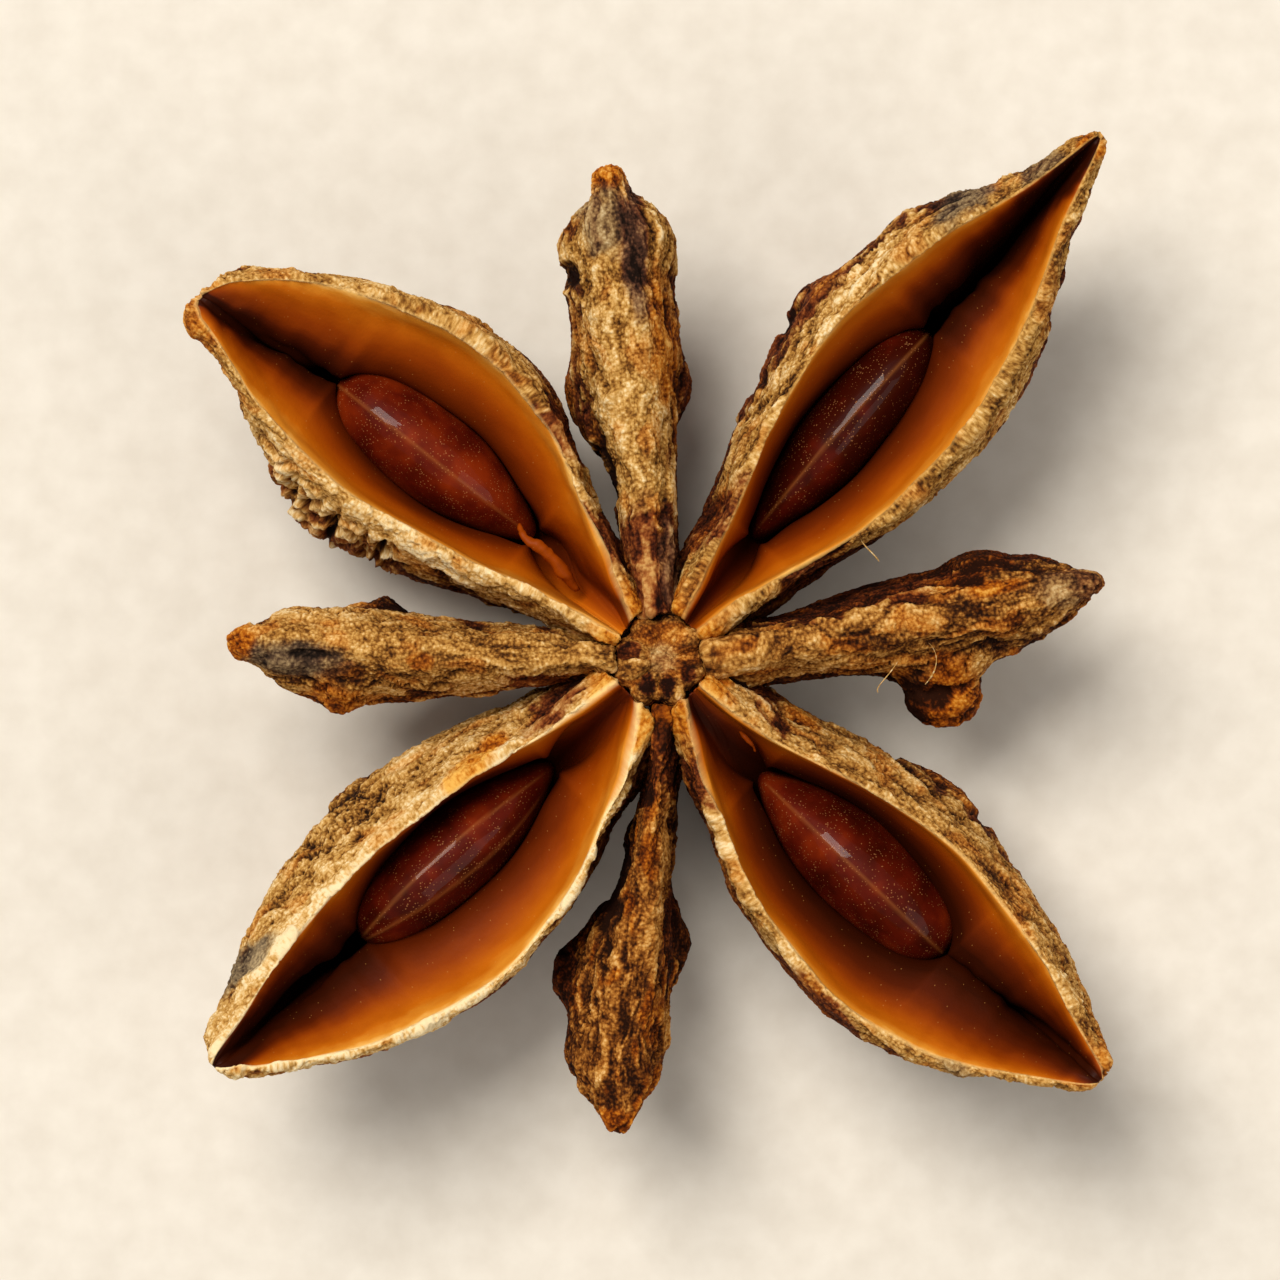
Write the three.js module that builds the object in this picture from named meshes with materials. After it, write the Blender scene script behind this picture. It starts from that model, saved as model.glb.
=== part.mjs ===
// Star anise pod: one dried fruit of eight boat-shaped follicles round a short column.
// Four follicles have split open along the seam on top, and each holds one seed; four stayed shut.
// Millimetres, +Z up. The origin is the centre of the stalk scar under the column, and the pod
// lies on that scar and on the bellies of the open follicles.
//
// Each follicle is modelled along +X, from the column outwards, and then turned to its azimuth.
// "Left" is +Y of that local frame. A station u runs from 0 at the root to 1 at the beak, and a
// height v runs from 0 at the keel to 1 at the seam.

import * as THREE from 'three';
import { LoftGeometry } from 'three/addons/geometries/LoftGeometry.js';

// ---- driving dimensions ----

const ROOT_FACE = 1.65;          // from the column's axis to the root of every follicle
const ROOT_SEAM = 8.1;           // height of the seam at the root
const ROOT_KEEL = 1.7;           // height of the keel at the root
const KEEL_REST = 0.1;           // how much of the keel curve is flattened where it lies
const KEEL_LOW = 0.36;           // station where the keel lies lowest
const KEEL_RISE = 2.45;          // how late the keel rises towards the beak
const END_ROUND = 0.35;          // length over which a beak rounds off
const BEAK_DEPTH = 0.95;         // depth of a beak
const KEEL_CLOSER = 1.35;        // how much closer together the steps up a wall are at the keel

const BEAK_ROUNDING = [          // the last sections: how far before the tip, and how much smaller
  { before: 0.35, shrink: 0.25 },
  { before: 0, shrink: 0.65 },
];
const BOTTOM_CURVE = 0.75;       // how round the bottoms of flanks and cavity are

const FLOOR = 0.95;              // thickness of the husk under the cavity
const FLOOR_SHARE = 0.6;         // and the most of the whole depth that it takes
const CAVITY_END = 0.98;         // station where the cavity ends, and how fast it runs out
const CAVITY_RUN = 0.1;
const SLIT_HALF = 0.09;          // half the seam's gap at the root and the beak
const CRACK_HALF = 0.12;         // half the width of the cavity before and behind its seed
const SEED_GAP = 0.22;           // from the seed to the wall beside it
const POCKET_ROOT = 1.4;         // how far the seed's pocket runs on towards the root
const POCKET_BEAK = 0.6;         // and towards the beak
const POCKET_TOP = 0.45;         // height in the cavity from where the walls lean out to the lips
const LEAN_CURVE = 1.2;          // how late they do so
const CAVITY_BOTTOM = 0.25;      // share of its height over which a cavity, an open flank and a
const OPEN_BOTTOM = 0.5;         // shut flank round to the bottom
const SHUT_BOTTOM = 0.4;
const FLANK_HEIGHT = 1.15;       // above 1 the flank is widest over the middle of its height
const RIM_AT_ENDS = 0.5;         // thickness of a rim at root and beak, as a share of its full one
const CREST = 0.12;              // rise of the rounded rim over its two edges
const GROOVE = 0.15;             // depth of the closed seam behind the beak
const WAVE = 0.07;               // how far a wall wanders from its smooth line

const OPEN_STATIONS = 20;        // sections along an open follicle
const OPEN_HEIGHTS = 6;          // steps up each face of its wall
const SHUT_STATIONS = 20;
const SHUT_HEIGHTS = 6;

const SHUT_RIDGE = 0.6;          // half the width of a shut follicle's ridge, as a share of its end
const SHOULDER = 0.45;           // height from where its flanks lean in to the ridge
const SHOULDER_CURVE = 1.8;
const NUB_DEPTH = 1.1;           // nub of a shut follicle's beak
const NUB_DROP = 0.25;           // from the top of the body down to the nub

const SEED_TALL = 5.2;
const SEED_BLUNT = 2.5;          // how squarely the outer end of a seed is rounded
const SEED_POINT = 0.15;         // how much slimmer than round its inner end is

const SCAR_RADIUS = 1.35;        // stalk scar, the flat face that the pod rests on
const COLUMN_TOP = 8.0;
const COLUMN_FACE = 1.18;        // column radius towards a follicle
const COLUMN_CORNER = 1.5;       // column radius between two follicles
const COLUMN_POCKET = 0.35;      // depth of the hollows between the ridges on its top

const LEFT = 1;
const RIGHT = -1;

// Open follicles. lip and flank are the reaches of the two sides from the follicle's axis, left
// and right, each as { full, skew, root, beak }: full is the widest, skew above 1 moves the widest
// station outwards, and root and beak above 1 make that end slimmer. root and tip are the half
// thicknesses at the ends, [left, right] at the root.
// A fold stands out of the wall at distance s, over a length, at a height up the wall.
const OPEN_FOLLICLES = {
  ne: {
    azimuth: 50, reach: 20, beakTop: 9.4, dip: 0.5, rim: 0.45, root: [0.55, 0.6], tip: 0.4,
    lip: [{ full: 2.2, skew: 1.05, root: 1, beak: 2.1 }, { full: 2.45, skew: 0.9, root: 1.4, beak: 1.3 }],
    flank: [{ full: 3.55, skew: 1.1, root: 0.7, beak: 2 }, { full: 3.15, skew: 1, root: 0.95, beak: 1.4 }],
    folds: [{ side: LEFT, s: 10.8, out: 0.4, length: 1.2, height: 0.55 },
      { side: LEFT, s: 14.4, out: 0.2, length: 1.2, height: 0.6 },
      { side: LEFT, s: 16.2, out: 0.35, length: 0.7, height: 0.6 }],
    seed: { centre: 8.65, left: 0.2, height: 4.55, length: 8.2, thick: 2.5, tilt: 6 },
  },
  nw: {
    azimuth: 141.8, reach: 17.2, beakTop: 8.8, dip: 0.4, rim: 0.45, root: [0.35, 0.8], tip: 0.95,
    lip: [{ full: 1.65, skew: 1.2, root: 1.2, beak: 0.8 }, { full: 3.75, skew: 1.1, root: 0.8, beak: 0.65 }],
    flank: [{ full: 3.2, skew: 1.1, root: 1.1, beak: 2 }, { full: 4.3, skew: 1.05, root: 0.9, beak: 0.75 }],
    folds: [{ side: LEFT, s: 11.0, out: 0.35, length: 1.2, height: 0.5 },
      { side: RIGHT, s: 8.8, out: 0.2, length: 0.8, height: 0.5 }],
    seed: { centre: 8.95, left: -0.6, height: 4.6, length: 7.5, thick: 2.9, tilt: 9 },
  },
  sw: {
    azimuth: -137.7, reach: 17.7, beakTop: 9.0, dip: 0.5, rim: 0.36, root: [1.2, 0.8], tip: 0.5,
    lip: [{ full: 3.55, skew: 1, root: 0.65, beak: 1 }, { full: 1.4, skew: 1, root: 1.35, beak: 0.95 }],
    flank: [{ full: 3.9, skew: 1, root: 0.75, beak: 1.1 }, { full: 3.45, skew: 1, root: 1.05, beak: 1 }],
    folds: [{ side: RIGHT, s: 9.4, out: 0.55, length: 1.2, height: 0.35 }],
    seed: { centre: 8.35, left: 0.15, height: 4.6, length: 7.8, thick: 2.8, tilt: 8 },
  },
  se: {
    azimuth: -43.7, reach: 17.9, beakTop: 8.7, dip: 0.4, rim: 0.5, root: [0.6, 0.75], tip: 0.7,
    lip: [{ full: 1.8, skew: 1.2, root: 1.2, beak: 1.2 }, { full: 3.5, skew: 1.05, root: 0.8, beak: 0.95 }],
    flank: [{ full: 3.15, skew: 1, root: 0.85, beak: 1.15 }, { full: 4.2, skew: 1.1, root: 0.7, beak: 1.3 }],
    folds: [{ side: LEFT, s: 8.8, out: 0.55, length: 1.4, height: 0.38 }],
    seed: { centre: 8.4, left: -0.4, height: 4.6, length: 7.8, thick: 3.0, tilt: 8 },
  },
};

// Shut follicles. root and flank are [left, right] reaches at the root and at the peak, the
// station where the body is widest, and rise how late each side widens. blunt is how squarely the
// body ends before the nub of the beak. shift bends the body sideways.
const SHUT_FOLLICLES = {
  n: {
    azimuth: 96, reach: 14.75, top: 8.4, keel: 2.2, root: [0.45, 0.65], flank: [1.75, 1.6], rise: [1.3, 1.3],
    ridge: 0.75, peak: 0.8, blunt: 5, nubHalf: 0.55, nubLength: 0.95, shift: 0,
    folds: [{ side: LEFT, s: 8.0, out: 0.65, length: 1.1, height: 0.35 },
      { side: RIGHT, s: 8.0, out: 0.55, length: 0.8, height: 0.35 },
      { side: RIGHT, s: 12.4, out: 0.25, length: 0.7, height: 0.7 }],
  },
  e: {
    azimuth: 10.2, reach: 13.3, top: 8.0, keel: 2.0, root: [0.45, 0.9], flank: [1.4, 1.65], rise: [1.5, 0.9],
    ridge: 0.6, peak: 0.68, blunt: 2.6, nubHalf: 0.3, nubLength: 0.5, shift: -0.1,
    folds: [{ side: RIGHT, s: 8.1, out: 2.1, length: 1.0, height: 0.5 },
      { side: LEFT, s: 9.8, out: 0.45, length: 0.8, height: 0.7 }],
  },
  s: {
    azimuth: -95.1, reach: 14.0, top: 7.6, keel: 2.0, root: [0.65, 0.05], flank: [1.1, 1.9], rise: [0.8, 3.4],
    ridge: 0.6, peak: 0.76, blunt: 4, nubHalf: 0.4, nubLength: 0.6, shift: 0,
    folds: [{ side: RIGHT, s: 9.5, out: 0.8, length: 0.9, height: 0.32 },
      { side: LEFT, s: 8.5, out: 0.7, length: 0.9, height: 0.35 }],
  },
  w: {
    azimuth: 178, reach: 12.7, top: 8.2, keel: 2.4, root: [0.4, 0.5], flank: [1.6, 1.15], rise: [1.1, 1],
    ridge: 0.6, peak: 0.76, blunt: 4, nubHalf: 0.5, nubLength: 0.8, shift: 0,
    folds: [{ side: LEFT, s: 9.5, out: 0.75, length: 0.55, height: 0.7 },
      { side: RIGHT, s: 8.2, out: 0.6, length: 0.7, height: 0.35 }],
  },
};

// ---- finishes ----

const HUSK = { color: 0x6e4a2a, roughness: 0.85, metalness: 0 };
const HUSK_PALE = { color: 0x9a7440, roughness: 0.9, metalness: 0 };
const SEED = { color: 0x5a1808, roughness: 0.2, metalness: 0 };
const CORE = { color: 0x7c6238, roughness: 0.9, metalness: 0 };

// ---- small helpers ----

const mix = (a, b, k) => a + (b - a) * k;
const arch = (x) => Math.sin(Math.PI * x);
const bell = (x) => Math.exp(-(x ** 4));
const clamp = (x) => Math.min(1, Math.max(0, x));
const quarterSine = (x) => Math.sin(Math.PI / 2 * clamp(x));

function along(follicle, u) {
  return mix(ROOT_FACE, follicle.reach, u);
}

// How far the folds push the wall out on one side, at distance s and height v.
function foldOut(follicle, side, s, v) {
  const spread = 0.2;
  let out = 0;
  for (const fold of follicle.folds) {
    if (fold.side !== side) continue;
    out += fold.out * bell((s - fold.s) / fold.length) * bell((v - fold.height) / spread);
  }
  return out;
}

// Keel height: down from the root, flat where the pod lies, then up to the beak.
function keelHeight(u, lowest, beakBottom) {
  if (u < KEEL_LOW) return mix(ROOT_KEEL, lowest, 1 - (1 - u / KEEL_LOW) ** 2);
  return mix(lowest, beakBottom, ((u - KEEL_LOW) / (1 - KEEL_LOW)) ** KEEL_RISE);
}

// A slow uneven wander along the husk, different on each side of each follicle.
function wander(follicle, side, s) {
  const phase = follicle.azimuth + 1.7 * side;
  return WAVE * (Math.sin(0.7 * s + phase) + 0.6 * Math.sin(1.6 * s + 2 * phase));
}

// Heights on a wall, closer together towards the keel, where it curves most.
function wallHeight(k, count) {
  return (k / count) ** KEEL_CLOSER;
}

// A follicle swept through its sections. The root ends flat, and the beak rounds off: its last
// sections shrink towards their middle.
function sweep(follicle, count, section) {
  const end = END_ROUND / (follicle.reach - ROOT_FACE);
  const rows = [];
  for (let i = 0; i <= count; i++) rows.push({ u: (1 - end) * i / count, shrink: 0 });
  for (const { before, shrink } of BEAK_ROUNDING) rows.push({ u: 1 - before * end, shrink });
  const sections = rows.map(({ u, shrink }) => {
    const points = section(follicle, u);
    const middle = points.reduce((sum, p) => sum.add(p), new THREE.Vector3()).divideScalar(points.length);
    return points.map((p) => p.lerp(middle, shrink));
  });
  return new LoftGeometry(sections, { capStart: true, capEnd: true });
}

// ---- open follicle ----

// Reach of one side of an open follicle: from its ends out to its full width and back.
function sideReach({ full, skew, root, beak }, u, end) {
  const swell = Math.max(0, arch(u ** skew)) ** mix(root, beak, u ** 2);
  return mix(end, Math.max(full, end), swell);
}

// Half width of the seed's pocket on one side: close round the seed, and a crack before and
// behind it.
function pocketReach({ centre, left, length, thick }, side, s) {
  const room = length / 2 + (s < centre ? POCKET_ROOT : POCKET_BEAK);
  const blunt = s < centre ? 2 : SEED_BLUNT;
  const round = Math.max(0, 1 - Math.abs((s - centre) / room) ** blunt) ** (1 / blunt);
  return mix(CRACK_HALF, thick / 2 + SEED_GAP, round) + side * left * round;
}

// A boat: one U-shaped section, swept from the root to the beak. The walls lean in from the lips
// to the seed's pocket, which runs out to a shut groove at the beak.
function openSection(f, u) {
  const s = along(f, u);
  const open = Math.sqrt(Math.max(0, arch(u)));
  const seam = mix(ROOT_SEAM, f.beakTop, u ** 1.5) - f.dip * arch(u);
  const keel = Math.max(0, keelHeight(u, -KEEL_REST, f.beakTop - BEAK_DEPTH));
  const full = seam - keel;
  const depth = (full - Math.min(FLOOR, FLOOR_SHARE * full)) * quarterSine((CAVITY_END - u) / CAVITY_RUN);
  const floor = seam - Math.max(GROOVE, depth);
  const keelMid = f.seed.left * open;

  const facePoint = (side, v, inner) => {
    const index = side === LEFT ? 0 : 1;
    const rough = wander(f, side, s) * open;
    const lip = sideReach(f.lip[index], u, SLIT_HALF);
    const end = mix(f.root[index], f.tip, u ** 3);
    const top = Math.max(end, lip + f.rim * mix(RIM_AT_ENDS, 1, open));
    const flank = Math.max(top, sideReach(f.flank[index], u, end));
    const lean = clamp((v - POCKET_TOP) / (1 - POCKET_TOP)) ** LEAN_CURVE;
    const reach = inner
      ? mix(pocketReach(f.seed, side, s), lip, lean)
      : mix(top, flank, arch(v ** FLANK_HEIGHT)) + foldOut(f, side, s, v) * open;
    const narrow = quarterSine(v / (inner ? CAVITY_BOTTOM : OPEN_BOTTOM)) ** BOTTOM_CURVE;
    const height = mix(inner ? floor : keel, seam, v) + wander(f, -side, s) * v * open;
    return new THREE.Vector3(s, mix(keelMid, side * (reach + rough), narrow), height);
  };
  const wallPoint = (side, k, inner) => facePoint(side, wallHeight(k, OPEN_HEIGHTS), inner);
  const crestPoint = (side) => {
    const point = facePoint(side, 1, false).lerp(facePoint(side, 1, true), 0.5);
    point.z += CREST;
    return point;
  };

  const points = [];
  for (let k = 0; k <= OPEN_HEIGHTS; k++) points.push(wallPoint(LEFT, k, false));
  points.push(crestPoint(LEFT));
  for (let k = OPEN_HEIGHTS; k >= 0; k--) points.push(wallPoint(LEFT, k, true));
  for (let k = 1; k <= OPEN_HEIGHTS; k++) points.push(wallPoint(RIGHT, k, true));
  points.push(crestPoint(RIGHT));
  for (let k = OPEN_HEIGHTS; k > 0; k--) points.push(wallPoint(RIGHT, k, false));
  return points;
}

function openFollicle(name, f) {
  const geometry = sweep(f, OPEN_STATIONS, openSection);
  const mesh = new THREE.Mesh(geometry, new THREE.MeshStandardMaterial(HUSK));
  mesh.name = name;
  return mesh;
}

// ---- shut follicle ----

// A narrow solid husk with a blunt seam ridge, wider flanks, and a nub for its beak.
function shutSection(f, u) {
  const s = along(f, u);
  const body = Math.min(1, u / (1 - f.nubLength / (f.reach - ROOT_FACE)));
  const past = Math.max(0, (body - f.peak) / (1 - f.peak));
  const waning = Math.max(0, 1 - past ** f.blunt);
  const seam = mix(mix(ROOT_SEAM, f.top, Math.min(1, 2 * u)), f.top - NUB_DROP, u ** 8);
  const bottom = keelHeight(u, f.keel, f.top - NUB_DROP - NUB_DEPTH);
  const mid = f.shift * arch(u);

  const flankPoint = (side, k) => {
    const index = side === LEFT ? 0 : 1;
    const v = wallHeight(k, SHUT_HEIGHTS);
    const swell = quarterSine(body / f.peak) ** f.rise[index] * waning;
    const end = mix(f.root[index], f.nubHalf, u ** 2);
    const reach = mix(end, f.flank[index], swell);
    const ridge = mix(end * SHUT_RIDGE, f.ridge, swell);
    const shoulder = mix(reach, ridge, clamp((v - SHOULDER) / (1 - SHOULDER)) ** SHOULDER_CURVE);
    const out = foldOut(f, side, s, v) * Math.min(1, 2 * waning * body);
    const rough = wander(f, side, s) * swell * Math.sqrt(v);
    const narrow = quarterSine(v / SHUT_BOTTOM) ** BOTTOM_CURVE;
    return new THREE.Vector3(s, mid + side * (shoulder * narrow + out + rough), mix(bottom, seam, v));
  };

  const points = [];
  for (let k = 0; k <= SHUT_HEIGHTS; k++) points.push(flankPoint(LEFT, k));
  points.push(flankPoint(LEFT, SHUT_HEIGHTS).lerp(flankPoint(RIGHT, SHUT_HEIGHTS), 0.5).setZ(seam + CREST));
  for (let k = SHUT_HEIGHTS; k > 0; k--) points.push(flankPoint(RIGHT, k));
  return points;
}

function shutFollicle(name, f) {
  const geometry = sweep(f, SHUT_STATIONS, shutSection);
  const mesh = new THREE.Mesh(geometry, new THREE.MeshStandardMaterial(HUSK_PALE));
  mesh.name = name;
  return mesh;
}

// ---- seed ----

// A flattened egg standing on edge, pointed at the end that faces the column.
function seed(name, { centre, left, height, length, thick, tilt }) {
  const geometry = new THREE.SphereGeometry(1, 14, 12);
  geometry.rotateZ(Math.PI / 2);
  const position = geometry.getAttribute('position');
  for (let i = 0; i < position.count; i++) {
    const x = position.getX(i);
    const round = Math.sqrt(1 - x * x);
    const full = x > 0 ? (1 - x ** SEED_BLUNT) ** (1 / SEED_BLUNT) : round * (1 - SEED_POINT * x * x);
    const plump = full / Math.max(round, 1e-3);
    const [y, z] = [position.getY(i) * plump, position.getZ(i) * plump];
    position.setXYZ(i, x * length / 2, y * thick / 2, z * SEED_TALL / 2);
  }
  const mesh = new THREE.Mesh(geometry, new THREE.MeshStandardMaterial(SEED));
  mesh.name = name;
  mesh.position.set(centre, left, height);
  mesh.rotation.y = -THREE.MathUtils.degToRad(tilt);
  return mesh;
}

// ---- column ----

// Eight-sided stem: a face towards each follicle and a corner between each two, on a round scar.
function column(azimuths) {
  const turns = azimuths.map((a) => THREE.MathUtils.degToRad(a)).sort((a, b) => a - b);
  const perSide = 4;

  // ring of points: corner runs from 0 at a face to 1 at a corner
  const ring = (radius, height) => {
    const points = [];
    turns.forEach((turn, i) => {
      const next = i + 1 < turns.length ? turns[i + 1] : turns[0] + 2 * Math.PI;
      for (let k = 0; k < perSide; k++) {
        const angle = mix(turn, next, k / perSide);
        const corner = arch(k / perSide);
        const r = radius(corner);
        points.push(new THREE.Vector3(r * Math.cos(angle), r * Math.sin(angle), height(corner)));
      }
    });
    return points;
  };
  const round = (r, z) => ring(() => r, () => z);
  const fluted = (scale, z) => ring((corner) => scale * mix(COLUMN_FACE, COLUMN_CORNER, corner), () => z);
  const crown = (scale, rise, pocket) => ring(
    (corner) => scale * mix(COLUMN_FACE, COLUMN_CORNER, corner),
    (corner) => COLUMN_TOP + rise - pocket * (1 - corner),
  );

  const sections = [
    round(SCAR_RADIUS, 0),
    round(SCAR_RADIUS + 0.12, 0.25),
    round(SCAR_RADIUS + 0.1, 0.9),
    fluted(1.0, 1.5),
    fluted(0.92, 2.4),
    fluted(0.92, 5.0),
    fluted(1.0, COLUMN_TOP - 0.5),
    crown(0.9, 0.0, 0.15),
    crown(0.6, 0.02, COLUMN_POCKET),
    crown(0.3, 0.0, COLUMN_POCKET * 0.7),
  ];
  const geometry = new LoftGeometry(sections, { capStart: true, capEnd: true });
  const mesh = new THREE.Mesh(geometry, new THREE.MeshStandardMaterial(CORE));
  mesh.name = 'column';
  return mesh;
}

// ---- assembly ----

const pod = new THREE.Group();

function turned(azimuth) {
  const group = new THREE.Group();
  group.rotation.z = THREE.MathUtils.degToRad(azimuth);
  pod.add(group);
  return group;
}

const azimuths = [];
for (const [place, f] of Object.entries(OPEN_FOLLICLES)) {
  const group = turned(f.azimuth);
  group.add(openFollicle(`follicle_${place}`, f), seed(`seed_${place}`, f.seed));
  azimuths.push(f.azimuth);
}
for (const [place, f] of Object.entries(SHUT_FOLLICLES)) {
  turned(f.azimuth).add(shutFollicle(`follicle_${place}`, f));
  azimuths.push(f.azimuth);
}
pod.add(column(azimuths));

export default pod;
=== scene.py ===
import math

import bmesh
import bpy
import numpy as np
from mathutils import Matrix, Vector, noise


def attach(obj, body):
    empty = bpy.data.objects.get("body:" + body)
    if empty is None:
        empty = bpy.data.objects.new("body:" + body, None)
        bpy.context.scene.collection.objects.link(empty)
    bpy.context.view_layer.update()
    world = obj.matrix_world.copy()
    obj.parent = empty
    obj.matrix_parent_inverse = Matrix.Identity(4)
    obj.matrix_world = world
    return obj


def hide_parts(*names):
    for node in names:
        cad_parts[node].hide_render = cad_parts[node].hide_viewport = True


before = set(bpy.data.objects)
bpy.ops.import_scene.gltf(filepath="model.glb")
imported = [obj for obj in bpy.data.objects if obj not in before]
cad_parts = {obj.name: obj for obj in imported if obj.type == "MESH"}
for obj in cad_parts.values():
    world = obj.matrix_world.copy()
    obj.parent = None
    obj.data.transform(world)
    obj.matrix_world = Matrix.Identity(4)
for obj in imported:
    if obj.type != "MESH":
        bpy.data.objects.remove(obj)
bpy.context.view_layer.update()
scene = bpy.context.scene

# ---------------------------------------------------------------------------------------------
# Camera: straight above the pod, far enough back that the tall rims hardly lean outwards. Its
# lens follows from how much the picture takes in at the height of the rims.

MM = 0.001
FRAME_WIDTH = 37.65 * MM         # what the picture takes in, at the height of the rims
RIM_LEVEL = 8.5 * MM
CAMERA_RISE = 200 * MM           # camera above the rims
FRAME_CENTRE = (-0.59 * MM, 0.59 * MM)

lens = bpy.data.cameras.new("camera")
lens.sensor_width = 36
lens.lens = lens.sensor_width * CAMERA_RISE / FRAME_WIDTH
lens.clip_start = 0.01
camera = bpy.data.objects.new("camera", lens)
camera.location = (*FRAME_CENTRE, RIM_LEVEL + CAMERA_RISE)
scene.collection.objects.link(camera)
scene.camera = camera

# ---------------------------------------------------------------------------------------------
# Table and light: a plain pale sheet under the pod, one large soft lamp above and a little to
# the left, a weak one opposite, and an even room.

FLOOR_SIDE = 1.6
LAMPS = {
    "key": {"place": (-0.16, 0.20, 0.46), "side": 0.26, "watts": 3.0, "tint": (1.0, 0.95, 0.88)},
    "fill": {"place": (0.34, -0.22, 0.30), "side": 0.40, "watts": 0.7, "tint": (1.0, 0.93, 0.85)},
}
ROOM_STRENGTH = 0.30
PAPER_FIBRE = 1.1 * MM           # width of the soft mottling of the sheet


def from_hex(code):
    """sRGB hex colour to linear red, green, blue and alpha."""
    channels = [int(code[i:i + 2], 16) / 255 for i in (1, 3, 5)]
    return (*((c / 12.92 if c <= 0.04045 else ((c + 0.055) / 1.055) ** 2.4) for c in channels), 1.0)


def add(tree, kind, inputs=None, stops=None, **settings):
    """Adds one node. Of its inputs, a socket is linked and a value is set; stops fill a ramp."""
    node = tree.nodes.new("ShaderNode" + kind)
    for name, value in settings.items():
        setattr(node, name, value)
    for key, value in (inputs or {}).items():
        if isinstance(value, bpy.types.NodeSocket):
            tree.links.new(value, node.inputs[key])
        else:
            node.inputs[key].default_value = value
    if stops:
        ramp = node.color_ramp
        while len(ramp.elements) < len(stops):
            ramp.elements.new(1.0)
        for element, (place, colour) in zip(ramp.elements, stops):
            element.position = place
            element.color = from_hex(colour)
    return node


def new_material(name):
    """An empty node material: returns it, its tree and its output node."""
    material = bpy.data.materials.new(name)
    material.use_nodes = True
    material.node_tree.nodes.clear()
    return material, material.node_tree, add(material.node_tree, "OutputMaterial")


# Uncoated paper: matt, because its fibres lie bare, and faintly mottled where they lie thicker.
paper, tree, output = new_material("matt_paper")
texture = add(tree, "TexCoord")
fibre = add(tree, "TexNoise", {"Vector": texture.outputs["Object"], "Scale": 1 / PAPER_FIBRE,
                               "Detail": 4.0})
tone = add(tree, "ValToRGB", {"Fac": fibre.outputs["Fac"]}, stops=[(0.3, "#D9D2C6"), (0.7, "#E2DCD1")])
surface = add(tree, "BsdfPrincipled", {"Base Color": tone.outputs["Color"], "Roughness": 0.85})
tree.links.new(surface.outputs[0], output.inputs["Surface"])

bm = bmesh.new()
bmesh.ops.create_grid(bm, x_segments=2, y_segments=2, size=FLOOR_SIDE / 2)
floor_mesh = bpy.data.meshes.new("floor")
bm.to_mesh(floor_mesh)
bm.free()
floor = bpy.data.objects.new("floor", floor_mesh)
floor.data.materials.append(paper)
scene.collection.objects.link(floor)

for name, lamp in LAMPS.items():
    data = bpy.data.lights.new(name, "AREA")
    data.size = lamp["side"]
    data.energy = lamp["watts"]
    data.color = lamp["tint"]
    light = bpy.data.objects.new(name, data)
    light.location = lamp["place"]
    light.rotation_euler = (-Vector(lamp["place"])).to_track_quat("-Z", "Y").to_euler()
    scene.collection.objects.link(light)

world = bpy.data.worlds.new("room")
world.use_nodes = True
world.node_tree.nodes["Background"].inputs["Color"].default_value = (1.0, 0.97, 0.93, 1.0)
world.node_tree.nodes["Background"].inputs["Strength"].default_value = ROOM_STRENGTH
scene.world = world
scene.view_settings.view_transform = "Standard"

# ---------------------------------------------------------------------------------------------
# Open follicles: four dry boats of corky husk, split along the seam on top and grown to the
# column by their roots. Outside a wrinkled skin under a granular crust, inside a satin lining.

SMOOTHING = 3                    # subdivision of the plain solid before its relief
ROOT_FACE = 1.65                 # mm from the column's axis to the plain solid's root
ROOT_REACH = 0.28                # mm that a root is drawn on towards the column
ROOT_WIDER = 0.22                # and how much wider it is than the plain solid there
ROOT_CREASE = 0.8                # how sharp the edge round a root's end stays
ROOT_STAIN = 2.3                 # mm from the axis to where the rusty end of an open husk's root stops
RINGS_APART = 0.03               # mm, less than there is between two cross sections of the plain solid
GRIP_TOP = (0.6, 2.4)            # mm below the seam over which the walls start to close on the seed,
GRIP_BOTTOM = (4.2, 6.0)         # and over which they stop
SEED_GRIP = 0.08                 # mm that the walls close over the widest line of a seed
SEED_TAPER = 0.3                 # how much thinner than an egg a seed is at its inner end
CRACK_WANDER = 0.14              # mm by which the crack beyond the seed wanders
LINING_SHADE = 0.64               # how dark the painted shade of the lining gets next to the seed
LINING_SHADE_FALL = 1.05               # and how late it does, 1 for evenly from the lip down
CRACK_SHADE_DARK = 0.4                 # how much darker still its painted shade is beside the crack
BOTTOM_SHADE = 0.22               # and at the bottom, which lies so many mm below the seam
BOTTOM_SHADE_DEPTH = (2.2, 5.4)
FILL_DEPTH = 0.5                 # mm, depth of the cavity at its root end
FILL_SLOPE = 1.15                # and how much deeper it gets with each mm outwards
KEEL_TOP = 2.0 * MM              # height under which a husk faces the table and keeps larger faces
SECTION_SIDE = 0.25              # mm, step in which the seam's height is read along a follicle
GRIT = 0.11                      # mm, sizes of what the husk's material draws: grit of the cork,
CORK_GRAIN = 0.105               # its round grains,
THREAD = 0.14                    # threads of fibre,
STREAK = 0.45                    # streaks in the lining
FLECK_GAP = 0.22                 # and the gaps between the flecks of dust on it
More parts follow.
